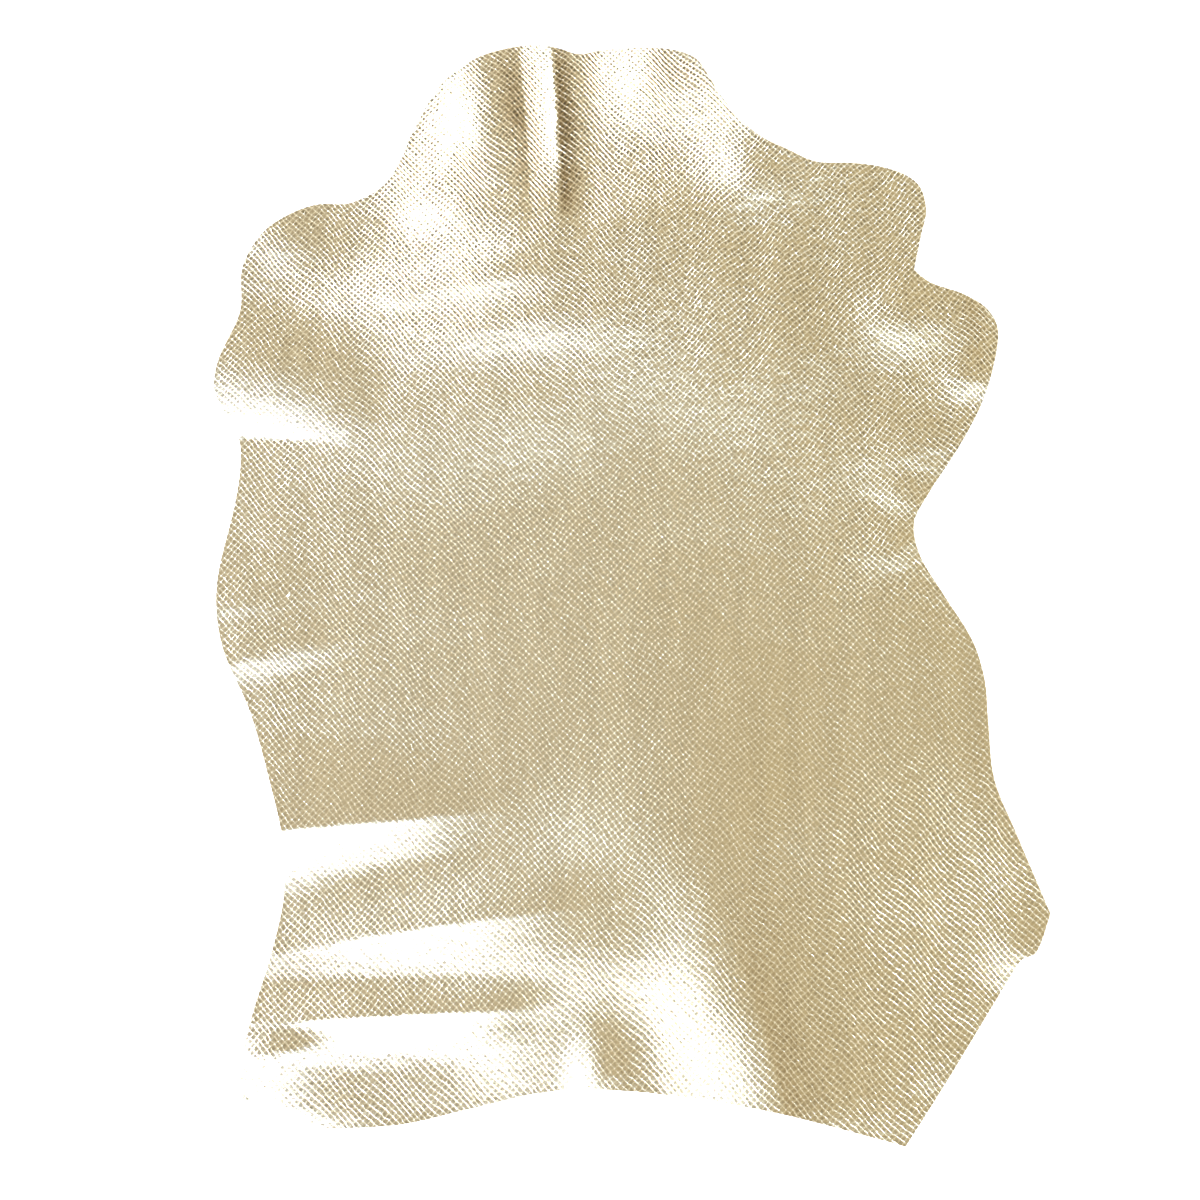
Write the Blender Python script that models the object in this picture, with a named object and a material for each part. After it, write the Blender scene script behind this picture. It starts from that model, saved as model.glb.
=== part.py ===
"""A whole small skin of gold foiled leather, lying grain side up with the folds of its legs and neck.

Units are metres, +Z is up and +Y runs along the back towards the neck. The origin is on the
surface the skin lies on, under the middle of its outline. The skin is one cut sheet: its flesh
side is level where it lies flat and lifts off the surface under each fold.
"""

import math
from collections import namedtuple

import bmesh
import bpy
import numpy as np
from mathutils.geometry import delaunay_2d_cdt

MM = 0.001
THICKNESS = 1.2 * MM

# The cut edge in millimetres, clockwise from the right hind tip as seen from above. A "cut" point
# is a sharp corner left by the knife; the edge runs smoothly through every "run" point.
EDGE = (
    # rump, from the right hind tip to the left hind foot
    (224, -452, "cut"), (173, -438, "run"), (118, -424, "run"), (55, -413, "run"),
    (-27, -405, "run"), (-76, -408, "run"), (-133, -421, "run"), (-199, -435, "run"),
    (-297, -434, "run"), (-318, -417, "run"), (-322, -395, "run"),
    # left flank and belly
    (-314, -351, "run"), (-296, -292, "run"), (-286, -245, "run"), (-287, -200, "run"),
    (-298, -151, "run"), (-314, -95, "run"), (-337, -40, "run"), (-341, 9, "run"),
    (-325, 82, "run"), (-322, 124, "run"),
    # left foreleg
    (-335, 151, "run"), (-343, 169, "run"), (-340, 192, "run"), (-322, 233, "run"),
    (-320, 269, "run"), (-304, 297, "run"), (-281, 313, "run"), (-258, 321, "run"),
    (-232, 322, "run"), (-205, 336, "run"),
    # neck
    (-190, 358, "run"), (-182, 377, "run"), (-159, 417, "run"), (-137, 436, "run"),
    (-117, 445, "run"), (-90, 451, "run"), (-72, 451, "run"), (-58, 448, "run"),
    (-44, 444, "run"), (-27, 447, "run"), (0, 449, "run"), (30, 448, "run"),
    (51, 441, "run"), (60, 430, "run"), (73, 409, "run"), (90, 389, "run"),
    (106, 376, "run"), (127, 366, "run"),
    # right shoulder, notch and foreleg
    (150, 356, "run"), (178, 355, "run"), (203, 352, "run"), (224, 345, "run"),
    (236, 335, "run"), (241, 315, "run"), (237, 296, "run"), (231, 267, "cut"),
    (244, 257, "run"), (270, 248, "run"), (289, 237, "run"), (299, 222, "run"),
    (299, 202, "run"), (288, 161, "run"), (268, 122, "run"), (242, 82, "run"),
    # right waist and flank
    (231, 59, "run"), (236, 33, "run"), (254, 3, "run"), (279, -37, "run"),
    (289, -69, "run"), (292, -105, "run"), (297, -151, "run"), (314, -193, "run"),
    # right thigh, trimmed straight back to the tip
    (343, -261, "cut"), (331, -293, "run"), (319, -299, "run"), (306, -319, "cut"),
    (257, -400, "run"),
)

# How a fold falls away on one side: the steepness at its crest and at its foot, where 1 is the
# even slope, 0 is level and 2 is a sharp crease.
SIDES = {
    "soft": (0.0, 0.0),
    "even": (1.0, 1.0),
    "crest": (2.0, 0.0),
    "foot": (0.0, 2.0),
}

# One row for each creased fold, in millimetres: where its crest starts and where it dies out, how
# far the crest bows to its left halfway, its height at the start and what is added to that halfway,
# and then for each side, as seen along the crest from its start, how wide it falls at the start and
# at the end, and in which way.
Fold = namedtuple("Fold", "name start end bow heights left left_side right right_side")
FOLDS = (
    Fold("neck middle crease", (-65, 446), (-60, 290), 2, (4, 3), (36, 28), "crest", (27, 23), "even"),
    Fold("shoulder lower wrinkle", (-205, 308), (-70, 313), 3, (0, 3), (20, 20), "soft", (27, 27), "foot"),
    Fold("left armpit pleat", (-340, 192), (-195, 168), 3, (7, 1), (65, 50), "soft", (62, 50), "foot"),
    Fold("left flank ridge", (-296, -193), (-70, -172), 0, (8, 0), (85, 60), "soft", (72, 60), "crest"),
    Fold("left thigh ridge", (-292, -293), (20, -248), 4, (1.5, 3.5), (60, 60), "soft", (45, 95), "crest"),
    Fold("left shank ridge", (-315, -350), (-35, -336), 0, (4.5, 3.5), (35, 30), "soft", (46, 52), "crest"),
    Fold("foot hem", (-315, -418), (-180, -425), 0, (1.5, 0), (40, 40), "soft", (15, 15), "foot"),
    Fold("rump flute right", (125, -427), (48, -210), -8, (12, 0), (120, 70), "soft", (125, 95), "crest"),
)

# One row for each soft swell, in millimetres: its middle, the way its crest runs in degrees, how
# far it reaches along the crest, how far to the crest's left and right, and its height.
Swell = namedtuple("Swell", "name middle turn reach sides height")
SWELLS = (
    Swell("neck left lobe", (-115, 390), 100, 70, (40, 32), 7),
    Swell("neck right lobe", (22, 430), 85, 50, (40, 50), 6),
    Swell("neck right rim", (112, 414), 130, 75, (52, 40), 8),
    Swell("neck right crease", (98, 348), 45, 28, (40, 25), 2.5),
    Swell("neck base", (-80, 322), -20, 28, (22, 25), 2.5),
    Swell("shoulder upper wrinkle", (-155, 338), -5, 45, (40, 25), 3.5),
    Swell("left foreleg", (-295, 300), 70, 30, (35, 45), 4),
    Swell("left foreleg edge", (-325, 262), 0, 30, (30, 25), 2.5),
    Swell("chest", (-40, 290), 13, 165, (35, 110), 8.5),
    Swell("chest upper wrinkle", (-120, 262), 3, 55, (18, 22), 2.5),
    Swell("chest middle wrinkle", (-110, 222), 6, 85, (18, 25), 2),
    Swell("chest lower swell", (-130, 150), 10, 120, (40, 50), 2),
    Swell("chest right swell", (110, 190), 90, 90, (100, 80), 4.5),
    Swell("belly upper ripple", (-335, -4), 10, 75, (30, 20), 2),
    Swell("belly lower ripple", (-325, -49), 10, 85, (25, 18), 2),
    Swell("foot left", (-300, -376), 5, 45, (18, 34), 6),
    Swell("foot right", (-105, -370), 0, 38, (28, 38), 2.5),
    Swell("rump flute left", (-24, -395), 98, 50, (28, 24), 4.5),
    Swell("loin", (-75, -300), 5, 75, (50, 45), 3),
    Swell("spine", (60, -235), 75, 115, (125, 60), 8.5),
    Swell("right notch", (212, 235), 70, 32, (32, 35), 3),
    Swell("right foreleg tip", (266, 222), 85, 40, (50, 20), 3.5),
    Swell("right foreleg ripple", (285, 180), 8, 40, (20, 18), 2.5),
    Swell("right elbow wrinkle", (225, 125), 5, 45, (35, 26), 2),
    Swell("right waist upper ripple", (225, 82), -27, 28, (22, 16), 1.4),
    Swell("right waist lower ripple", (215, 40), 25, 28, (22, 16), 1.4),
    Swell("right hip nick", (320, -292), 105, 28, (26, 28), 1.8),
    Swell("right thigh", (315, -212), 112, 70, (50, 40), 2.5),
    Swell("right tip", (248, -378), 45, 28, (25, 25), 1),
)

# The sheet's own weight presses it level wherever it would lift by less than this, in millimetres.
FLATTENED = 0.25

# Mesh spacing in millimetres.
EDGE_STEP = 9.0
EDGE_GAP = 6.0
FOLD_STEP = 12.0
FOLD_GAP = 7.5
LIFTED_STEP = 13.5
LIFTED_GAP = 8.5
LIFTED_HEIGHT = 0.4
LEVEL_STEP = 26.0
LEVEL_GAP = 14.0
# Where the rows of mesh points run on each side of a crest, as shares of that side's width.
FOLD_ROWS = (0.0, 1.0, 0.5, 0.25, 0.75)
CREST_STEPS = 24

# Champagne gold foil: linear colour, nearly all metal, a soft gloss.
FOIL_COLOR = (0.60, 0.49, 0.29, 1.0)
FOIL_METALLIC = 0.85
FOIL_ROUGHNESS = 0.34


def clear_scene():
    for old in list(bpy.data.objects):
        bpy.data.objects.remove(old, do_unlink=True)


def cubic(share, start, start_slope, end, end_slope):
    """Hermite curve from start to end for a share from 0 to 1, with the slopes at both ends."""
    square, cube = share ** 2, share ** 3
    return ((2 * cube - 3 * square + 1) * start + (cube - 2 * square + share) * start_slope
            + (3 * square - 2 * cube) * end + (cube - square) * end_slope)


def edge_loop(step):
    """Points along the cut edge, about a step apart, centred on the outline's own box."""
    corners = np.array([row[:2] for row in EDGE], float)
    corners -= (corners.max(axis=0) + corners.min(axis=0)) / 2
    sharp = [row[2] == "cut" for row in EDGE]
    count = len(corners)
    lengths = [math.dist(corners[i], corners[(i + 1) % count]) for i in range(count)]
    loop = []
    for i in range(count):
        here, after = corners[i], corners[(i + 1) % count]
        chord = after - here
        slopes = [chord, chord]
        if not sharp[i]:
            slopes[0] = (after - corners[i - 1]) * lengths[i] / (lengths[i] + lengths[i - 1])
        if not sharp[(i + 1) % count]:
            beyond = (i + 1) % count
            span = corners[(i + 2) % count] - here
            slopes[1] = span * lengths[i] / (lengths[i] + lengths[beyond])
        pieces = max(1, round(lengths[i] / step))
        for piece in range(pieces):
            loop.append(cubic(piece / pieces, here, slopes[0], after, slopes[1]))
    return np.array(loop)


def crest_points(fold, shares):
    """Points on a fold's crest at shares of its length, from 0 at its start to 1 at its end."""
    start, end = np.array(fold.start, float), np.array(fold.end, float)
    run = end - start
    left = np.array((-run[1], run[0])) / np.linalg.norm(run)
    arch = 4 * shares * (1 - shares)
    return start + np.outer(shares, run) + np.outer(arch * fold.bow, left)


def crest_height(fold, share):
    """Height of a crest at a share of its length: it dies out smoothly at its end."""
    first, extra = fold.heights
    return cubic(share, first, 0.0, 0.0, 0.0) + 16 * extra * (share * (1 - share)) ** 2


def fold_rise(fold, points):
    """How far one fold lifts the sheet at each of the points."""
    crest = crest_points(fold, np.linspace(0.0, 1.0, CREST_STEPS + 1))
    nearest = np.full(len(points), np.inf)
    share = np.zeros(len(points))
    side = np.zeros(len(points))
    for step in range(CREST_STEPS):
        start, run = crest[step], crest[step + 1] - crest[step]
        along = np.clip((points - start) @ run / (run @ run), 0.0, 1.0)
        offset = points - start - np.outer(along, run)
        distance = np.hypot(offset[:, 0], offset[:, 1])
        closer = distance < nearest
        nearest = np.where(closer, distance, nearest)
        share = np.where(closer, (step + along) / CREST_STEPS, share)
        side = np.where(closer, run[0] * offset[:, 1] - run[1] * offset[:, 0], side)
    rise = np.zeros(len(points))
    for on_side, widths, shape in ((side >= 0, fold.left, fold.left_side),
                                   (side < 0, fold.right, fold.right_side)):
        crest_slope, foot_slope = SIDES[shape]
        width = widths[0] + (widths[1] - widths[0]) * share
        reach = np.minimum(nearest / width, 1.0)
        fall = cubic(reach, 1.0, -crest_slope, 0.0, -foot_slope)
        rise = np.where(on_side, fall * crest_height(fold, share), rise)
    return rise


def swell_rise(swell, points):
    """How far one swell lifts the sheet at each of the points."""
    turn = math.radians(swell.turn)
    offset = points - swell.middle
    along = offset @ (math.cos(turn), math.sin(turn)) / swell.reach
    across = offset @ (-math.sin(turn), math.cos(turn))
    across = across / np.where(across >= 0, *swell.sides)
    return swell.height * np.exp(-along ** 2 - across ** 2)


def flesh_height(points):
    """Height of the flesh side above the surface: level, plus the folds and swells at the point."""
    lift = sum(fold_rise(fold, points) for fold in FOLDS)
    lift += sum(swell_rise(swell, points) for swell in SWELLS)
    return np.maximum(lift - FLATTENED, 0.0)


def inside(loop, points):
    """True for each point that lies inside the closed loop."""
    odd = np.zeros(len(points), bool)
    for start, end in zip(loop, np.roll(loop, -1, axis=0)):
        spans = (start[1] > points[:, 1]) != (end[1] > points[:, 1])
        rise = end[1] - start[1] if end[1] != start[1] else 1.0
        crossing = start[0] + (points[:, 1] - start[1]) * (end[0] - start[0]) / rise
        odd ^= spans & (points[:, 0] < crossing)
    return odd


def fold_rows(fold):
    """Rows of points beside a fold's crest: the crest first, then its feet and the slopes."""
    length = math.dist(fold.start, fold.end)
    shares = np.linspace(0.0, 1.0, max(2, round(length / FOLD_STEP)) + 1)
    crest = crest_points(fold, shares)
    run = np.gradient(crest, axis=0)
    left = np.stack((-run[:, 1], run[:, 0]), axis=1) / np.linalg.norm(run, axis=1)[:, None]
    rows = []
    for part in FOLD_ROWS:
        for widths, sign in ((fold.left, 1), (fold.right, -1)):
            width = widths[0] + (widths[1] - widths[0]) * shares
            rows.append(crest + left * (sign * part * width)[:, None])
    return rows


def fill_rows(loop, step, least_height):
    """An even triangular filling of points, where the sheet lifts at least so high."""
    low, high = loop.min(axis=0), loop.max(axis=0)
    row_step = step * math.sqrt(3) / 2
    rows = []
    for index, y in enumerate(np.arange(low[1], high[1], row_step)):
        x = np.arange(low[0] + (index % 2) * step / 2, high[0], step)
        row = np.stack((x, np.full(len(x), y)), axis=1)
        rows.append(row[flesh_height(row) >= least_height])
    return rows


def sheet_points(loop):
    """The edge loop, then points inside it that keep clear of those before them."""
    kept = [tuple(point) for point in loop]
    groups = [(FOLD_GAP, row) for part in zip(*map(fold_rows, FOLDS)) for row in part]
    groups += [(LIFTED_GAP, row) for row in fill_rows(loop, LIFTED_STEP, LIFTED_HEIGHT)]
    groups += [(LEVEL_GAP, row) for row in fill_rows(loop, LEVEL_STEP, 0.0)]
    for gap, row in groups:
        for point in row[inside(loop, row)]:
            clearance = np.array(kept) - point
            distance = np.hypot(clearance[:, 0], clearance[:, 1])
            if distance[:len(loop)].min() > EDGE_GAP and distance[len(loop):].min(initial=gap) >= gap:
                kept.append(tuple(point))
    return kept


def build_hide():
    loop = edge_loop(EDGE_STEP)
    flat = sheet_points(loop)
    border = list(range(len(loop)))[::-1]
    plan, _, faces, *_ = delaunay_2d_cdt(flat, [], [border], 1, 1e-6)
    plan = np.array([tuple(point) for point in plan])
    heights = flesh_height(plan)

    sheet = bmesh.new()
    for (x, y), z in zip(plan, heights):
        sheet.verts.new((x * MM, y * MM, z * MM))
    sheet.verts.ensure_lookup_table()
    for face in faces:
        sheet.faces.new([sheet.verts[index] for index in face])
    bmesh.ops.recalc_face_normals(sheet, faces=sheet.faces)
    if sum(face.normal.z for face in sheet.faces) < 0:
        bmesh.ops.reverse_faces(sheet, faces=sheet.faces)

    mesh = bpy.data.meshes.new("hide")
    sheet.to_mesh(mesh)
    sheet.free()
    hide = bpy.data.objects.new("hide", mesh)
    bpy.context.collection.objects.link(hide)

    leather = hide.modifiers.new("leather thickness", "SOLIDIFY")
    leather.thickness = THICKNESS
    leather.offset = 1.0
    leather.use_even_offset = True
    leather.use_quality_normals = True
    return hide


def foil_material():
    material = bpy.data.materials.new("gold_foil_leather")
    material.use_nodes = True
    shader = material.node_tree.nodes["Principled BSDF"]
    shader.inputs["Base Color"].default_value = FOIL_COLOR
    shader.inputs["Metallic"].default_value = FOIL_METALLIC
    shader.inputs["Roughness"].default_value = FOIL_ROUGHNESS
    return material


clear_scene()
hide = build_hide()
hide.data.materials.append(foil_material())
hide.data.shade_smooth()
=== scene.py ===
"""A whole small skin of gold foiled leather with a fine scale grain, seen from straight above.

The skin lies grain side up on a pale floor, in the folds of its legs, neck and rump. Sizes in the
tables are millimetres; the model is in metres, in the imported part's own frame.
"""

import math
from collections import namedtuple

import bpy
import numpy as np
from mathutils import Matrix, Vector
from mathutils.geometry import delaunay_2d_cdt
from mathutils.kdtree import KDTree


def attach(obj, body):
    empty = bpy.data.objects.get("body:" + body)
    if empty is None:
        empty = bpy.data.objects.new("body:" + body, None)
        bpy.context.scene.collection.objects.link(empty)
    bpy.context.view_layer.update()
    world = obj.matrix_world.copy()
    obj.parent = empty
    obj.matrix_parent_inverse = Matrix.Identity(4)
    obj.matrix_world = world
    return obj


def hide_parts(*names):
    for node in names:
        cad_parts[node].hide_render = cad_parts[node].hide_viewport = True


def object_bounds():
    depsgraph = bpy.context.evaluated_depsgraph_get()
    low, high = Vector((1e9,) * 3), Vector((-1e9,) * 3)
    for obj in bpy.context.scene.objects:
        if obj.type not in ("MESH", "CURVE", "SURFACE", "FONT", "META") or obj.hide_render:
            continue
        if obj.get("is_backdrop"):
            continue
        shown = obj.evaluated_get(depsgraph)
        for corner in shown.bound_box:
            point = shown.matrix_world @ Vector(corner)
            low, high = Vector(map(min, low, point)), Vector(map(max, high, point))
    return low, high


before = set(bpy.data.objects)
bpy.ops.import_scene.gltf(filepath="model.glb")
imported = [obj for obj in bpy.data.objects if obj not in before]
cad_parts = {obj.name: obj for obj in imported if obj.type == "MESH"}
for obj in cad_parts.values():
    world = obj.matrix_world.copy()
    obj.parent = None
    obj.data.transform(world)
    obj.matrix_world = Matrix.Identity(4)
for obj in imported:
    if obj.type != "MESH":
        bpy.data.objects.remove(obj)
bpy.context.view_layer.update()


# ---------------------------------------------------------------------------------------------
# The skin: one small goat or lamb skin, tanned soft, embossed under a hot plate with a fine scale
# grain, then faced with champagne gold foil. Its edge is left as the animal's shape and the knife
# made it, and its folds are those it takes when it is unrolled and laid down.
MM = 0.001
THICKNESS = 1.2

# The outline, clockwise from the right hind tip. A "cut" point is a sharp corner, and the edge
# runs smoothly through a "run" point.
EDGE = (
    # rump, from the right hind tip to the left hind foot
    (224, -452, "cut"), (173, -438, "run"), (118, -424, "run"), (55, -413, "run"),
    (-27, -405, "run"), (-76, -408, "run"), (-133, -421, "run"), (-199, -435, "run"),
    (-297, -434, "run"), (-318, -417, "run"), (-322, -395, "run"),
    # left flank and belly
    (-314, -351, "run"), (-296, -292, "run"), (-286, -245, "run"), (-287, -200, "run"),
    (-298, -151, "run"), (-314, -95, "run"), (-337, -40, "run"), (-341, 9, "run"),
    (-325, 82, "run"), (-322, 124, "run"),
    # left foreleg
    (-335, 151, "run"), (-343, 169, "run"), (-340, 192, "run"), (-322, 233, "run"),
    (-320, 269, "run"), (-304, 297, "run"), (-281, 313, "run"), (-258, 321, "run"),
    (-232, 322, "run"), (-205, 336, "run"),
    # neck
    (-190, 358, "run"), (-182, 377, "run"), (-159, 417, "run"), (-137, 436, "run"),
    (-117, 445, "run"), (-90, 451, "run"), (-72, 451, "run"), (-58, 448, "run"),
    (-44, 444, "run"), (-27, 447, "run"), (0, 449, "run"), (30, 448, "run"),
    (51, 441, "run"), (60, 430, "run"), (73, 409, "run"), (90, 389, "run"),
    (106, 376, "run"), (127, 366, "run"),
    # right shoulder, notch and foreleg
    (150, 356, "run"), (178, 355, "run"), (203, 352, "run"), (224, 345, "run"),
    (236, 335, "run"), (241, 315, "run"), (237, 296, "run"), (231, 267, "cut"),
    (244, 257, "run"), (270, 248, "run"), (289, 237, "run"), (299, 222, "run"),
    (299, 202, "run"), (288, 161, "run"), (268, 122, "run"), (242, 82, "run"),
    # right waist and flank
    (231, 59, "run"), (236, 33, "run"), (254, 3, "run"), (279, -37, "run"),
    (289, -69, "run"), (292, -105, "run"), (297, -151, "run"), (314, -193, "run"),
    # right thigh, trimmed straight back to the tip
    (343, -261, "cut"), (331, -293, "run"), (319, -299, "run"), (306, -319, "cut"),
    (257, -400, "run"),
)

# The cut edge: how far apart its points are, how far its upper corner is rounded in, and from
# which share of the thickness up the foil covers it.
EDGE_STEP = 3.0
EDGE_ROUNDING = 0.2
FOILED_FROM = 0.75

# How a fold falls away on one side: the steepness at its crest and at its foot, where 1 is the
# even slope, 0 is level and 2 is a sharp crease.
SIDES = {
    "soft": (0.0, 0.0),
    "even": (1.0, 1.0),
    "crest": (2.0, 0.0),
    "foot": (0.0, 2.0),
}

# One row for each creased fold: where its crest starts and where it dies out, how far the crest
# bows to its left halfway, its height at the start and what is added to that halfway, and for
# each side, as seen along the crest, how wide it falls at the start and the end, and which way.
Fold = namedtuple("Fold", "name start end bow heights left left_side right right_side")
FOLDS = (
    Fold("neck middle crease", (-65, 446), (-60, 290), 2, (4, 3), (36, 28), "crest", (27, 23), "even"),
    Fold("shoulder lower wrinkle", (-205, 308), (-70, 313), 3, (0, 3), (20, 20), "soft", (27, 27), "foot"),
    Fold("left armpit pleat", (-340, 192), (-195, 168), 3, (7, 1), (65, 50), "soft", (62, 50), "foot"),
    Fold("left flank ridge", (-296, -193), (-70, -172), 0, (8, 0), (85, 60), "soft", (72, 60), "crest"),
    Fold("left thigh ridge", (-292, -293), (20, -248), 4, (1.5, 3.5), (60, 60), "soft", (45, 95), "crest"),
    Fold("left shank ridge", (-315, -350), (-35, -336), 0, (4.5, 3.5), (35, 30), "soft", (46, 52), "crest"),
    Fold("foot hem", (-315, -418), (-180, -425), 0, (1.5, 0), (40, 40), "soft", (15, 15), "foot"),
    Fold("rump flute right", (125, -427), (48, -210), -8, (12, 0), (120, 70), "soft", (150, 120), "crest"),
)

# One row for each soft swell: its middle, the way its crest runs in degrees, how far it reaches
# along the crest, how far to the crest's left and right, and its height.
Swell = namedtuple("Swell", "name middle turn reach sides height")
SWELLS = (
    Swell("neck left lobe", (-115, 390), 100, 70, (40, 32), 7),
    Swell("neck right lobe", (22, 430), 85, 50, (40, 80), 6),
    Swell("neck right rim", (112, 414), 130, 75, (52, 40), 8),
    Swell("neck right crease", (98, 348), 45, 28, (40, 25), 2.5),
    Swell("neck base", (-80, 322), -20, 28, (22, 25), 2.5),
    Swell("shoulder upper wrinkle", (-155, 338), -5, 45, (40, 25), 3.5),
    Swell("left foreleg", (-295, 300), 70, 30, (35, 45), 4),
    Swell("left foreleg edge", (-325, 262), 0, 30, (30, 25), 2.5),
    Swell("shoulder lower ripple", (-190, 250), 5, 45, (30, 16), 1.5),
    Swell("chest", (-40, 290), 13, 165, (35, 110), 8.5),
    Swell("chest upper wrinkle", (-120, 262), 3, 55, (18, 22), 2.5),
    Swell("chest middle wrinkle", (-110, 222), 6, 85, (18, 25), 2),
    Swell("chest lower swell", (-130, 150), 10, 120, (40, 50), 2),
    Swell("chest right swell", (110, 190), 90, 90, (100, 80), 3.5),
    Swell("belly upper ripple", (-335, -4), 10, 75, (30, 20), 2),
    Swell("belly lower ripple", (-325, -49), 10, 85, (25, 18), 2),
    Swell("foot left", (-300, -376), 5, 45, (18, 34), 6),
    Swell("foot right", (-105, -370), 0, 38, (28, 38), 2.5),
    Swell("rump flute left", (-24, -395), 98, 50, (28, 24), 4.5),
    Swell("loin", (-75, -300), 5, 75, (50, 45), 3),
    Swell("spine", (60, -235), 75, 115, (125, 60), 8.5),
    Swell("right notch", (212, 235), 70, 32, (32, 35), 3),
    Swell("right foreleg tip", (266, 222), 85, 40, (50, 20), 3.5),
    Swell("right foreleg ripple", (285, 180), 8, 40, (20, 18), 2.5),
    Swell("right elbow wrinkle", (225, 125), 5, 45, (35, 26), 2),
    Swell("right waist upper ripple", (225, 82), -27, 28, (22, 16), 1.4),
    Swell("right waist lower ripple", (215, 40), 25, 28, (22, 16), 1.4),
    Swell("right hip nick", (320, -292), 105, 28, (26, 28), 1.8),
    Swell("right thigh", (315, -212), 112, 70, (50, 40), 2.5),
    Swell("right tip", (248, -378), 45, 28, (25, 25), 1),
)
CREST_STEPS = 24

# The soft unevenness between the folds: low waves in seeded directions, and how far the skin's
# weight then presses everything down, so that it lies level between the folds.
WAVES = 10
WAVE_LENGTHS = (70.0, 190.0)
WAVE_HEIGHT = 0.07
FLATTENED = 0.1

# The embossed grain: lozenge scales in rows that swing up and down across the skin. Half-pitches
# across and along the back, how much both grow towards the rump, and the swing of the rows and
# of the columns, each with its length and with the drifts that keep it from repeating.
SCALE_ACROSS = 2.74
SCALE_ALONG = 2.74
SCALE_GROWTH = 0.00018
ROW_SWING = 2.2
ROW_SWING_LENGTH = 54.0
ROW_DRIFT, ROW_DRIFT_LENGTH = 0.9, 61.0
SLOW_ROW_DRIFT, SLOW_ROW_DRIFT_LENGTH = 0.7, 143.0
COLUMN_SWING = 1.2
COLUMN_SWING_LENGTH = 96.0
COLUMN_DRIFT, COLUMN_DRIFT_LENGTH = 1.1, 88.0
PLATE_PAST_EDGE = 1.12
CLOSING_ROUNDS = 14

# Each scale: the height of its crown and of the lines around it, how far its points stray to the
# side and up or down with the most that they may, and how near the scales come to the edge. The
# plain flesh side has its points further apart.
SCALE_CROWN = 0.045
SCALE_GROOVE = -0.055
SCALE_STRAY, MOST_STRAY = 0.28, 0.7
SCALE_TILT, MOST_TILT = 0.022, 0.06
GRAIN_MARGIN = 2.1
FLESH_STEP = 9.0

# How hard the plate pressed in each part of the skin: a place, how clearly the scale edges that
# fall to the right show there, and how clearly those that rise to the right do. Then how far
# around its place each row counts.
PRESSED = (
    (-170, 400, 1.10, 0.45), (-90, 390, 1.20, 0.60), (-70, 320, 1.00, 0.55), (30, 400, 1.10, 0.60),
    (-250, 270, 0.85, 0.60), (-120, 230, 0.80, 0.50), (60, 280, 0.45, 1.10), (130, 290, 0.25, 1.30),
    (200, 310, 0.35, 1.20), (280, 210, 0.90, 0.80), (220, 190, 0.60, 0.75), (120, 150, 0.25, 0.85),
    (-260, 120, 0.60, 0.50), (-130, 100, 0.45, 0.40), (0, 80, 0.35, 0.45), (215, 70, 0.60, 0.70),
    (-290, -30, 0.60, 0.45), (-160, -60, 0.40, 0.35), (-30, -60, 0.35, 0.35), (90, -20, 0.30, 0.45),
    (220, -80, 0.35, 0.35), (-200, -200, 0.50, 0.35), (-60, -190, 0.40, 0.35), (110, -180, 0.50, 0.35),
    (270, -210, 0.70, 0.35), (210, -330, 0.75, 0.35), (40, -330, 0.60, 0.40), (-120, -320, 0.50, 0.40),
    (-250, -350, 0.65, 0.50),
)
PRESSED_REACH = 55.0


def cubic(share, start, start_slope, end, end_slope):
    """Hermite curve from start to end for a share from 0 to 1, with the slopes at both ends."""
    square, cube = share ** 2, share ** 3
    return ((2 * cube - 3 * square + 1) * start + (cube - 2 * square + share) * start_slope
            + (3 * square - 2 * cube) * end + (cube - square) * end_slope)


def edge_loop(step):
    """Points along the cut edge, about a step apart, centred on the outline's own box."""
    corners = np.array([row[:2] for row in EDGE], float)
    corners -= (corners.max(axis=0) + corners.min(axis=0)) / 2
    sharp = [row[2] == "cut" for row in EDGE]
    count = len(corners)
    lengths = [math.dist(corners[i], corners[(i + 1) % count]) for i in range(count)]
    loop = []
    for i in range(count):
        here, after = corners[i], corners[(i + 1) % count]
        chord = after - here
        slopes = [chord, chord]
        if not sharp[i]:
            slopes[0] = (after - corners[i - 1]) * lengths[i] / (lengths[i] + lengths[i - 1])
        if not sharp[(i + 1) % count]:
            beyond = (i + 1) % count
            span = corners[(i + 2) % count] - here
            slopes[1] = span * lengths[i] / (lengths[i] + lengths[beyond])
        pieces = max(1, round(lengths[i] / step))
        for piece in range(pieces):
            loop.append(cubic(piece / pieces, here, slopes[0], after, slopes[1]))
    return np.array(loop)


def crest_points(fold, shares):
    """Points on a fold's crest at shares of its length, from 0 at its start to 1 at its end."""
    start, end = np.array(fold.start, float), np.array(fold.end, float)
    run = end - start
    left = np.array((-run[1], run[0])) / np.linalg.norm(run)
    arch = 4 * shares * (1 - shares)
    return start + np.outer(shares, run) + np.outer(arch * fold.bow, left)


def crest_height(fold, share):
    """Height of a crest at a share of its length: it dies out smoothly at its end."""
    first, extra = fold.heights
    return cubic(share, first, 0.0, 0.0, 0.0) + 16 * extra * (share * (1 - share)) ** 2


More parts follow.
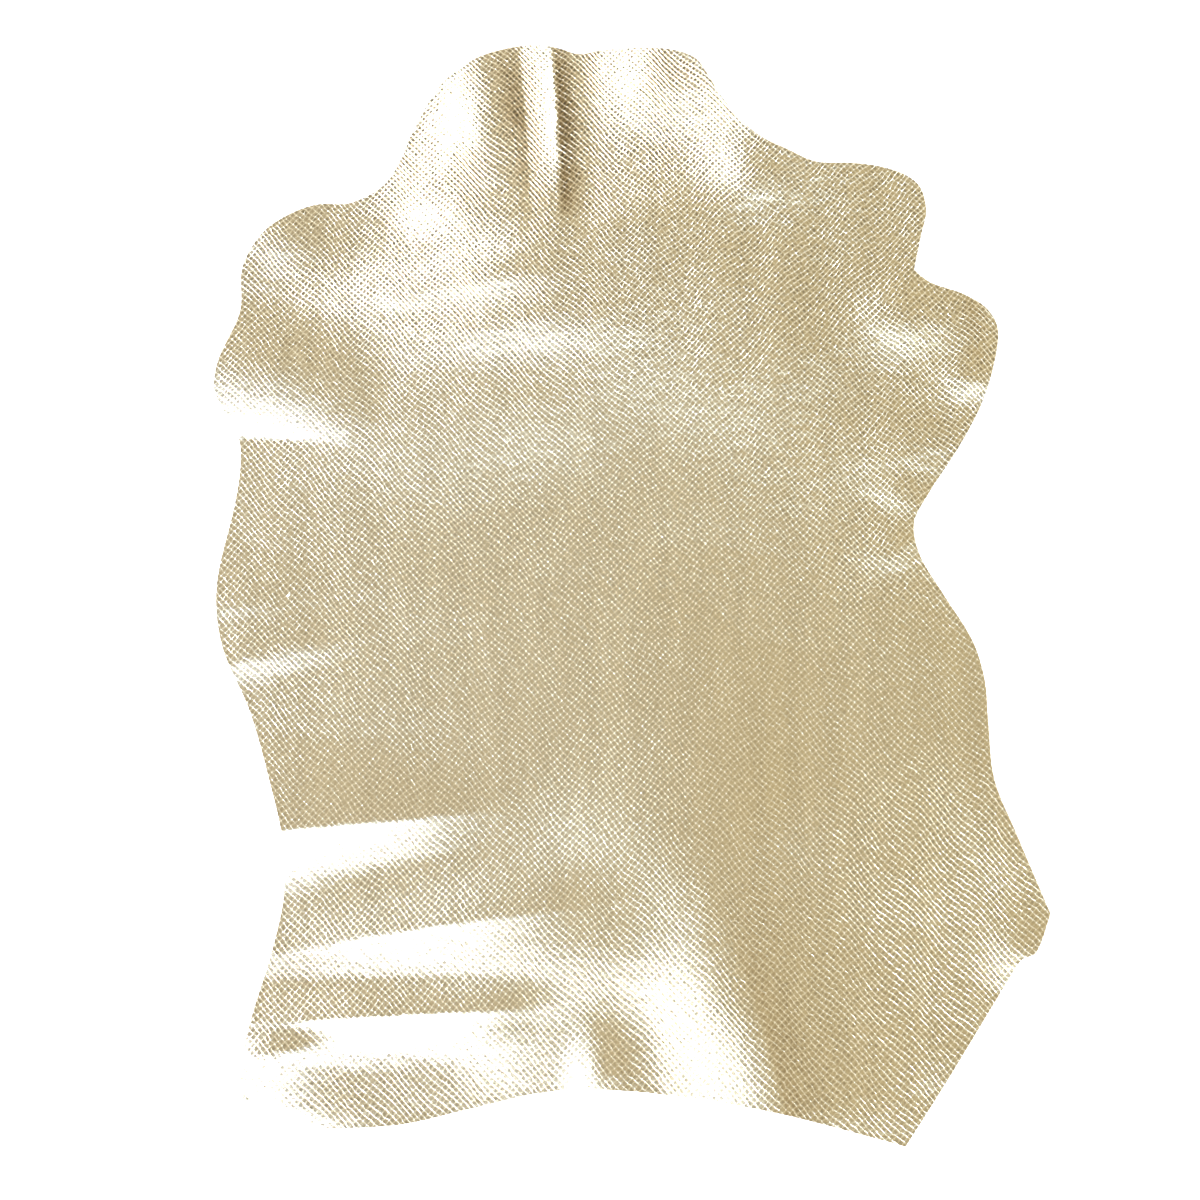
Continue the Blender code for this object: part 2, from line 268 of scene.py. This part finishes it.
def fold_rise(fold, points):
    """How far one fold lifts the sheet at each of the points."""
    crest = crest_points(fold, np.linspace(0.0, 1.0, CREST_STEPS + 1))
    nearest = np.full(len(points), np.inf)
    share = np.zeros(len(points))
    side = np.zeros(len(points))
    for step in range(CREST_STEPS):
        start, run = crest[step], crest[step + 1] - crest[step]
        along = np.clip((points - start) @ run / (run @ run), 0.0, 1.0)
        offset = points - start - np.outer(along, run)
        distance = np.hypot(offset[:, 0], offset[:, 1])
        closer = distance < nearest
        nearest = np.where(closer, distance, nearest)
        share = np.where(closer, (step + along) / CREST_STEPS, share)
        side = np.where(closer, run[0] * offset[:, 1] - run[1] * offset[:, 0], side)
    rise = np.zeros(len(points))
    for on_side, widths, shape in ((side >= 0, fold.left, fold.left_side),
                                   (side < 0, fold.right, fold.right_side)):
        crest_slope, foot_slope = SIDES[shape]
        width = widths[0] + (widths[1] - widths[0]) * share
        reach = np.minimum(nearest / width, 1.0)
        fall = cubic(reach, 1.0, -crest_slope, 0.0, -foot_slope)
        rise = np.where(on_side, fall * crest_height(fold, share), rise)
    return rise


def swell_rise(swell, points):
    """How far one swell lifts the sheet at each of the points."""
    turn = math.radians(swell.turn)
    offset = points - swell.middle
    along = offset @ (math.cos(turn), math.sin(turn)) / swell.reach
    across = offset @ (-math.sin(turn), math.cos(turn))
    across = across / np.where(across >= 0, *swell.sides)
    return swell.height * np.exp(-along ** 2 - across ** 2)


def unevenness(points):
    """Low waves all over the skin."""
    dice = np.random.default_rng(11)
    height = np.zeros(len(points))
    for _ in range(WAVES):
        turn, shift = dice.uniform(0, 2 * math.pi, 2)
        length = dice.uniform(*WAVE_LENGTHS)
        along = points @ (math.cos(turn), math.sin(turn))
        height += WAVE_HEIGHT * np.sin(2 * math.pi * along / length + shift)
    return height


def flesh_height(points):
    """Height of the flesh side: folds, swells and waves, and level where the skin would sink."""
    height = unevenness(points) - FLATTENED
    height += sum(fold_rise(fold, points) for fold in FOLDS)
    height += sum(swell_rise(swell, points) for swell in SWELLS)
    return np.maximum(height, 0.0)


def grain_height(points):
    """Height of the grain side: the flesh side plus the leather, measured square to its slope."""
    probe = 1.0
    level = flesh_height(points)
    slope_x = (flesh_height(points + (probe, 0)) - level) / probe
    slope_y = (flesh_height(points + (0, probe)) - level) / probe
    return level + THICKNESS * np.sqrt(1 + slope_x ** 2 + slope_y ** 2)


def inside(loop, points):
    """True for each point that lies inside the closed loop."""
    odd = np.zeros(len(points), bool)
    for start, end in zip(loop, np.roll(loop, -1, axis=0)):
        spans = (start[1] > points[:, 1]) != (end[1] > points[:, 1])
        rise = end[1] - start[1] if end[1] != start[1] else 1.0
        crossing = start[0] + (points[:, 1] - start[1]) * (end[0] - start[0]) / rise
        odd ^= spans & (points[:, 0] < crossing)
    return odd


def clear_of(loop, points, gap):
    """The points inside the loop that are at least a gap from its own points."""
    tree = KDTree(len(loop))
    for index, (x, y) in enumerate(loop):
        tree.insert((x, y, 0), index)
    tree.balance()
    held = inside(loop, points)
    for index in np.nonzero(held)[0]:
        x, y = points[index]
        held[index] = tree.find((x, y, 0))[2] > gap
    return held


def scale_place(rows):
    """Where the embossing plate puts each scale corner and centre, counted in half-pitches."""
    across, along = rows[:, 0], rows[:, 1]
    y = SCALE_ALONG * along * (1 - SCALE_GROWTH * SCALE_ALONG * along)
    x = SCALE_ACROSS * across * (1 - SCALE_GROWTH * y)
    swing = np.sin(2 * math.pi * x / ROW_SWING_LENGTH
                   + ROW_DRIFT * np.sin(y / ROW_DRIFT_LENGTH)
                   + SLOW_ROW_DRIFT * np.sin(y / SLOW_ROW_DRIFT_LENGTH))
    sway = np.sin(2 * math.pi * y / COLUMN_SWING_LENGTH
                  + COLUMN_DRIFT * np.sin(x / COLUMN_DRIFT_LENGTH))
    return np.stack((x + COLUMN_SWING * sway, y + ROW_SWING * swing), axis=1)


def scale_count(points):
    """The half-pitch count at each point: scale_place the other way, found by closing in on it."""
    pitch = np.array((SCALE_ACROSS, SCALE_ALONG))
    rows = points / pitch
    for _ in range(CLOSING_ROUNDS):
        rows = rows + (points - scale_place(rows)) / pitch
    return rows


def pressed(points):
    """How clearly both sets of scale edges show at each point, eased between the table's places."""
    table = np.array(PRESSED, float)
    distance = np.linalg.norm(points[:, None, :] - table[None, :, :2], axis=2)
    weight = np.exp(-(distance / PRESSED_REACH) ** 2 / 2) + 1e-9
    return weight @ table[:, 2:] / weight.sum(axis=1)[:, None]


def inset(loop, depth):
    """The loop moved inwards by a depth; it runs clockwise, so inwards is to its right."""
    run = np.roll(loop, -1, axis=0) - np.roll(loop, 1, axis=0)
    run /= np.linalg.norm(run, axis=1)[:, None]
    return loop + depth * np.stack((run[:, 1], -run[:, 0]), axis=1)


def filled_in(flat, rim, lines):
    """Triangles between the points, inside the rim that the first of them make; it keeps the lines."""
    outline = list(range(rim))[::-1]
    _, _, faces, sources, *_ = delaunay_2d_cdt(
        [Vector(point) for point in flat], lines, [outline], 1, 1e-6)
    origin = [source[0] if source else 0 for source in sources]
    return [[origin[corner] for corner in face] for face in faces]


def grain_side(loop):
    """The grain side's points, scale counts and faces: the rim first, then every scale."""
    furthest = np.abs(loop).max(axis=0) * PLATE_PAST_EDGE
    reach = np.ceil(furthest / (SCALE_ACROSS, SCALE_ALONG)).astype(int)
    across, along = np.meshgrid(*(np.arange(-n, n + 1) for n in reach), indexing="ij")
    rows = np.stack((across.ravel(), along.ravel()), axis=1).astype(float)
    places = scale_place(rows)
    kept = clear_of(loop, places, GRAIN_MARGIN)
    number = np.full(len(rows), -1)
    number[kept] = len(loop) + np.arange(kept.sum())
    number = number.reshape(across.shape)
    even = (across + along)[:-1, :-1] % 2 == 0
    first = np.where(even, number[1:, :-1], number[:-1, :-1])
    second = np.where(even, number[:-1, 1:], number[1:, 1:])
    grooves = [(int(a), int(b)) for a, b in zip(first.ravel(), second.ravel()) if a >= 0 and b >= 0]
    strays = np.random.default_rng(5).normal(0.0, SCALE_STRAY, (kept.sum(), 2))
    flat = np.concatenate((loop, places[kept] + strays.clip(-MOST_STRAY, MOST_STRAY)))
    counts = np.concatenate((scale_count(loop), rows[kept]))
    return flat, counts, filled_in(flat, len(loop), grooves)


def flesh_side(loop):
    """The flesh side's points and faces, coarser than the grain side and on the same rim."""
    low, high = loop.min(axis=0), loop.max(axis=0)
    x, y = np.meshgrid(*(np.arange(low[axis], high[axis], FLESH_STEP) for axis in (0, 1)))
    x[::2] += FLESH_STEP / 2
    fill = np.stack((x.ravel(), y.ravel()), axis=1)
    flat = np.concatenate((loop, fill[clear_of(loop, fill, FLESH_STEP / 2)]))
    return flat, filled_in(flat, len(loop), [])


class Wire:
    """One socket inside a material or a room. Wires take part in sums, which add their Math nodes."""

    def __init__(self, tree, socket=None):
        self.tree = tree
        self.socket = socket

    def node(self, kind, settings, sockets, out=0):
        """Adds a node: its settings first, then what its sockets hold or are linked to."""
        made = self.tree.nodes.new("ShaderNode" + kind)
        for name, value in settings.items():
            setattr(made, name, value)
        for name, value in sockets.items():
            if isinstance(value, Wire):
                self.tree.links.new(value.socket, made.inputs[name])
            else:
                made.inputs[name].default_value = value
        return Wire(self.tree, made.outputs[out])

    def into(self, shader, name):
        """Links this wire to a shader's socket."""
        self.tree.links.new(self.socket, shader.inputs[name])

    def sum(self, operation, first, second):
        """The Math node for one step of a sum."""
        return self.node("Math", {"operation": operation}, {0: first, 1: second})

    def __add__(self, other):
        return self.sum("ADD", self, other)

    def __radd__(self, other):
        return self.sum("ADD", other, self)

    def __sub__(self, other):
        return self.sum("SUBTRACT", self, other)

    def __rsub__(self, other):
        return self.sum("SUBTRACT", other, self)

    def __mul__(self, other):
        return self.sum("MULTIPLY", self, other)

    def __rmul__(self, other):
        return self.sum("MULTIPLY", other, self)

    def split(self):
        """The three parts of this vector."""
        parts = self.node("SeparateXYZ", {}, {0: self}).socket.node.outputs
        return [Wire(self.tree, part) for part in parts]

    def drawn(self, shares):
        """This vector with each part times its own share, to draw out the noise that is laid on it."""
        return self.node("VectorMath", {"operation": "MULTIPLY"}, {0: self, 1: shares})

    def at_least(self, low):
        return self.sum("MAXIMUM", self, low)

    def from_whole(self):
        """How far this value is from the nearest whole number."""
        return self.node("Math", {"operation": "PINGPONG"}, {0: self, 1: 0.5})

    def shingle(self, width):
        """A step up over a width after each whole number, with an even fall back to the next one."""
        part = self.node("Math", {"operation": "FRACT"}, {0: self})
        return part.spread(0.0, width) - part

    def noise(self, scale, detail=2.0, rough=0.5):
        """Soft noise laid on this vector, with so many marks to the metre."""
        return self.node("TexNoise", {}, {"Vector": self, "Scale": scale, "Detail": detail,
                                          "Roughness": rough})

    def spread(self, low, high):
        """This value opened out so that low becomes 0 and high becomes 1, eased at both ends."""
        return self.node("MapRange", {"interpolation_type": "SMOOTHSTEP"},
                         {"Value": self, "From Min": low, "From Max": high})

    def between(self, first, second):
        """A colour that is first where this value is 0 and second where it is 1."""
        ends = [(*end, 1.0) if isinstance(end, tuple) else end for end in (first, second)]
        return self.node("Mix", {"data_type": "RGBA"}, {0: self, 6: ends[0], 7: ends[1]}, 2)


def finish_named(name):
    """A new material with its Principled shader, and the wire that its other nodes start from."""
    material = bpy.data.materials.new(name)
    material.use_nodes = True
    return material, material.node_tree.nodes["Principled BSDF"], Wire(material.node_tree)


# The foil's colours: gold at the skin's left and right, a darker gold for random speckle and for
# painted shade on the scale crowns, and a pale gold for painted highlights on the scale edges.
LEFT_GOLD = (0.62, 0.50, 0.29)
RIGHT_GOLD = (0.61, 0.475, 0.235)
DARK_TONE_AND_SHADE_GOLD = (0.30, 0.235, 0.125)
HIGHLIGHT_GOLD = (0.98, 0.86, 0.58)

# The foil's relief: the step where one scale laps over the next, what wear adds to it and how
# much of the scale it takes, the small wrinkles, and the pores and grit of the grain side.
LAP_STEP, WORN_LAP_STEP = 0.025, 0.055
LAP_WIDTH = 0.16
WRINKLE_HEIGHT = 0.6
PORE_HEIGHT, GRIT_HEIGHT = 0.035, 0.01

# How far the scale edges wander, in scales, and the foil's roughness with what the pores add.
EDGE_WANDER = 0.4
FOIL_ROUGHNESS, PORE_ROUGHNESS = 0.09, 0.08


def foil_finish():
    """Champagne gold foil: all metal, over scales that lap like shingles.

    Each scale steps up at its edges and falls back evenly. Its crown gets painted shade in a
    darker gold and its edges painted highlights in a paler gold, both more so where the plate
    pressed hard, and there the skin has small wrinkles too. Painted highlights also lie as pale
    dashes where four scales meet.
    """
    material, shader, start = finish_named("gold_foil")
    place = start.node("TexCoord", {}, {}, 3)
    across, _, _ = place.split()
    column, row, _ = start.node("UVMap", {"uv_map": "scales"}, {}).split()
    falling, rising, _ = start.node("UVMap", {"uv_map": "pressed"}, {}).split()
    depth = falling + rising
    worn = place.noise(260.0).spread(0.30, 0.70)

    # Crowns lie at whole numbers of columns and rows. Half a scale on, the edges do instead.
    wander = EDGE_WANDER * place.noise(200.0)
    column = column + wander + (0.5 - EDGE_WANDER / 2)
    row = row - wander + (0.5 + EDGE_WANDER / 2)

    steps = column.shingle(LAP_WIDTH) * falling + row.shingle(LAP_WIDTH) * rising
    wrinkles = place.drawn((1.0, 2.0, 1.0)).noise(36.0, 4.0) * (depth - 0.6)
    pores = place.noise(420.0, 3.0, 0.6)
    grit = place.noise(1500.0)
    height = (PORE_HEIGHT * pores + GRIT_HEIGHT * grit + WRINKLE_HEIGHT * wrinkles
              + (LAP_STEP + WORN_LAP_STEP * worn) * steps)
    bump = start.node("Bump", {}, {"Height": height, "Distance": MM, "Strength": 1.0})
    bump.into(shader, "Normal")

    gold = across.spread(-0.25, 0.30).between(LEFT_GOLD, RIGHT_GOLD)
    from_falling, from_rising = column.from_whole(), row.from_whole()
    crowns = from_falling.spread(0.08, 0.40) * from_rising.spread(0.04, 0.34)
    speckle = place.noise(550.0, 2.0, 0.6).spread(0.35, 0.65)
    streaks = place.drawn((1.0, 0.1, 1.0)).noise(65.0).spread(0.35, 0.65)
    # Darker gold: random speckle and streaks of tone, plus painted shade on the scale crowns, stronger
    # where the plate pressed hard.
    dark_tone_and_shade = 0.15 * speckle + 0.12 * streaks + crowns * worn * (0.85 * depth - 0.35)
    # Painted highlights: pale gold along the scale edges and in dashes where four scales meet.
    edges = ((1 - from_falling.spread(0.02, 0.20)) * falling
             + (1 - from_rising.spread(0.02, 0.20)) * rising)
    corners = (1 - from_falling.spread(0.05, 0.35)) * (1 - from_rising.spread(0.05, 0.35))
    dashes = corners * (1 - (column + row).from_whole().spread(0.05, 0.28))
    painted_highlight = (0.8 * edges + 0.7 * dashes) * (1.5 - 1.3 * speckle)
    foil = painted_highlight.between(dark_tone_and_shade.between(gold, DARK_TONE_AND_SHADE_GOLD), HIGHLIGHT_GOLD)
    foil.into(shader, "Base Color")
    gloss = FOIL_ROUGHNESS + PORE_ROUGHNESS * pores
    gloss.into(shader, "Roughness")
    shader.inputs["Metallic"].default_value = 1.0
    return material


# Raw leather: the light and dark of the cut edge's fibres and of the flesh side's nap.
CUT_FIBRE, CUT_SHADE = (0.66, 0.56, 0.40), (0.50, 0.40, 0.27)
FLESH_NAP, FLESH_SHADE = (0.66, 0.60, 0.50), (0.52, 0.46, 0.37)
NAP_HEIGHT = 0.4
SUEDE_ROUGHNESS = 0.95


def suede_finish(name, colour, darker):
    """Raw leather: the napped flesh side, and the cut edge with its fibres."""
    material, shader, start = finish_named(name)
    place = start.node("TexCoord", {}, {}, 3)
    nap = place.noise(900.0, 4.0, 0.65)
    cloud = place.noise(14.0, 3.0)
    tone = (0.5 * nap + 0.5 * cloud).spread(0.3, 0.7).between(darker, colour)
    tone.into(shader, "Base Color")
    bump = start.node("Bump", {}, {"Height": nap, "Distance": NAP_HEIGHT * MM, "Strength": 0.8})
    bump.into(shader, "Normal")
    shader.inputs["Roughness"].default_value = SUEDE_ROUGHNESS
    return material


def draw_maps(mesh, counts, depths):
    """The skin's two maps: its columns and rows of scales, and how clearly their edges show."""
    corners = np.zeros(len(mesh.loops), int)
    mesh.loops.foreach_get("vertex_index", corners)
    turned = np.stack((counts.sum(axis=1), counts[:, 0] - counts[:, 1]), axis=1) / 2
    for name, values in (("scales", turned), ("pressed", depths)):
        mesh.uv_layers.new(name=name).data.foreach_set("uv", values[corners].ravel())


def sharpen(mesh, groove_points, rim, lip, base):
    """Smooth shading, but sharp along the lines between scales and all round the cut edge."""
    ends = np.zeros(len(mesh.edges) * 2, int)
    mesh.edges.foreach_get("vertices", ends)
    ends = ends.reshape(-1, 2)
    between_scales = groove_points[ends].all(axis=1)
    round_the_top = (ends < rim).all(axis=1)
    round_the_lip = ((ends >= lip) & (ends < base)).all(axis=1)
    down_the_cut = (ends >= base).any(axis=1) & (ends < base + rim).all(axis=1)
    sharp = between_scales | round_the_top | round_the_lip | down_the_cut
    mesh.shade_smooth()
    mesh.attributes.new("sharp_edge", "BOOLEAN", "EDGE").data.foreach_set("value", sharp)


def build_skin():
    """The whole skin in one closed mesh: grain side, foiled lip, cut edge and flesh side."""
    loop = edge_loop(EDGE_STEP)
    rim = len(loop)
    top, counts, top_faces = grain_side(inset(loop, EDGE_ROUNDING))
    under, under_faces = flesh_side(loop)
    lattice = np.arange(len(top)) >= rim
    crown = (np.rint(counts).sum(axis=1) % 2 == 0) & lattice
    tilt = np.random.default_rng(3).normal(0.0, SCALE_TILT, len(top)).clip(-MOST_TILT, MOST_TILT)
    relief = (np.where(crown, SCALE_CROWN, SCALE_GROOVE) + tilt) * lattice
    under_height = flesh_height(under)

    # The points are those of the grain side, then the lip of the foil, then the flesh side. Each
    # of the three starts with its ring round the edge.
    lip = len(top)
    base = lip + rim
    places = np.concatenate((
        np.column_stack((top, grain_height(top) + relief)),
        np.column_stack((loop, under_height[:rim] + FOILED_FROM * THICKNESS)),
        np.column_stack((under, under_height)),
    )) * MM
    faces = top_faces
    looks = [0] * len(faces)
    for here in range(rim):
        after = (here + 1) % rim
        faces.append([here, after, lip + after, lip + here])
        faces.append([lip + here, lip + after, base + after, base + here])
        looks += [0, 1]
    faces += [[base + corner for corner in reversed(face)] for face in under_faces]
    looks += [2] * len(under_faces)

    mesh = bpy.data.meshes.new("skin")
    mesh.from_pydata([tuple(place) for place in places], [], faces)
    mesh.polygons.foreach_set("material_index", looks)
    all_counts = np.concatenate((counts, counts[:rim], np.zeros((len(under), 2))))
    draw_maps(mesh, all_counts, pressed(places[:, :2] / MM))
    groove_points = np.zeros(len(places), bool)
    groove_points[:lip] = lattice & ~crown
    sharpen(mesh, groove_points, rim, lip, base)
    mesh.update()
    mesh.validate()
    mesh.materials.append(foil_finish())
    mesh.materials.append(suede_finish("cut_edge", CUT_FIBRE, CUT_SHADE))
    mesh.materials.append(suede_finish("flesh_suede", FLESH_NAP, FLESH_SHADE))
    made = bpy.data.objects.new("skin", mesh)
    bpy.context.scene.collection.objects.link(made)
    return made


skin = build_skin()
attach(skin, "root")
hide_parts("hide")


# ---------------------------------------------------------------------------------------------
# The floor: a wide matt board of milky white plastic that the skin lies on. It is lit from below
# as well, which washes out the skin's shadow.
FLOOR_SIZE = 12.0
FLOOR_DROP = 0.0002
FLOOR_WHITE = 0.9
FLOOR_ROUGHNESS = 0.9
FLOOR_GLOW = 0.4

half = FLOOR_SIZE / 2
floor_corners = [(-half, -half, 0), (half, -half, 0), (half, half, 0), (-half, half, 0)]
floor_mesh = bpy.data.meshes.new("floor")
floor_mesh.from_pydata(floor_corners, [], [(0, 1, 2, 3)])
floor = bpy.data.objects.new("floor", floor_mesh)
floor.location.z = -FLOOR_DROP
bpy.context.scene.collection.objects.link(floor)
board, board_shader, _ = finish_named("white_board")
board_shader.inputs["Base Color"].default_value = (FLOOR_WHITE, FLOOR_WHITE, FLOOR_WHITE, 1.0)
board_shader.inputs["Roughness"].default_value = FLOOR_ROUGHNESS
board_shader.inputs["Emission Color"].default_value = (1.0, 1.0, 1.0, 1.0)
board_shader.inputs["Emission Strength"].default_value = FLOOR_GLOW
floor_mesh.materials.append(board)
floor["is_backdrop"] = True


# ---------------------------------------------------------------------------------------------
# The studio: two long cool softboxes high up at the left and the front, in a pale even room that
# is far brighter high up behind them, and dimmer and warmer high up at the right and the back. The
# camera is straight above, where the photograph was taken.
Softbox = namedtuple("Softbox", "name place aim size glow")
SOFTBOXES = (
    Softbox("left_softbox", (-2.75, 0.00, 4.70), (-0.03, 0.0, 0.0), (7.0, 2.8), 8.0),
    Softbox("front_softbox", (-0.75, -2.75, 4.65), (-0.10, 0.0, 0.0), (6.0, 2.8), 8.0),
)
DAYLIGHT = (0.76, 0.93, 1.35)
WHITE = (1.0, 1.0, 1.0)
LAMPLIGHT = (1.0, 0.84, 0.62)

# The room's light low down; how far to the left or front it starts to brighten higher up, and how
# fast; what the right and back add, and what their shade takes away high up; and the most that
# any part of the room gives.
ROOM_GLOW = 0.86
BRIGHT_FROM, BRIGHT_GAIN = 0.10, 10.5
FAR_GAIN = 0.06
SHADE_LOSS = 0.54
MOST_GLOW = 5.0

for box in SOFTBOXES:
    lamp = bpy.data.lights.new(box.name, "AREA")
    lamp.shape = "RECTANGLE"
    lamp.size, lamp.size_y = box.size
    lamp.energy = box.glow * box.size[0] * box.size[1] * math.pi
    lamp.color = DAYLIGHT
    placed = bpy.data.objects.new(box.name, lamp)
    placed.location = box.place
    facing = (Vector(box.aim) - Vector(box.place)).to_track_quat("-Z", "Y")
    placed.rotation_euler = facing.to_euler()
    bpy.context.scene.collection.objects.link(placed)

world = bpy.data.worlds.new("studio")
world.use_nodes = True
room = Wire(world.node_tree)
right, back, up = room.node("TexCoord", {}, {}).split()
high = up.spread(0.60, 0.80)
to_left = (0.0 - right).at_least(0.0)
to_front = (0.0 - back).at_least(0.0)
toward = room.node("Math", {"operation": "SQRT"}, {0: to_left * to_left + to_front * to_front})
lit = (toward - BRIGHT_FROM).at_least(0.0) * high
away = (right + back).spread(0.0, 0.40)
shaded = (right + 0.5 * back).spread(0.22, 0.62) * high
glow = ROOM_GLOW + BRIGHT_GAIN * lit + FAR_GAIN * away - SHADE_LOSS * shaded
tint = (toward.spread(0.04, 0.20) * high).between(shaded.between(WHITE, LAMPLIGHT), DAYLIGHT)
backdrop = world.node_tree.nodes["Background"]
room.node("Clamp", {}, {0: glow, 1: 0.0, 2: MOST_GLOW}).into(backdrop, "Strength")
tint.into(backdrop, "Color")
bpy.context.scene.world = world
bpy.context.scene.view_settings.view_transform = "Standard"

# The photograph's frame is 1200 pixels of 0.82 mm wide, and its middle lies a little to the left of
# the skin's own and below it.
VIEW_WIDTH = 0.984
VIEW_CENTRE = (-0.0266, -0.0031)
CAMERA_HEIGHT = 8.0
SENSOR_WIDTH = 36.0

eye = bpy.data.cameras.new("camera")
eye.sensor_width = SENSOR_WIDTH
eye.lens = SENSOR_WIDTH * CAMERA_HEIGHT / VIEW_WIDTH
camera = bpy.data.objects.new("camera", eye)
camera.location = (*VIEW_CENTRE, CAMERA_HEIGHT)
bpy.context.scene.collection.objects.link(camera)
bpy.context.scene.camera = camera

low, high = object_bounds()
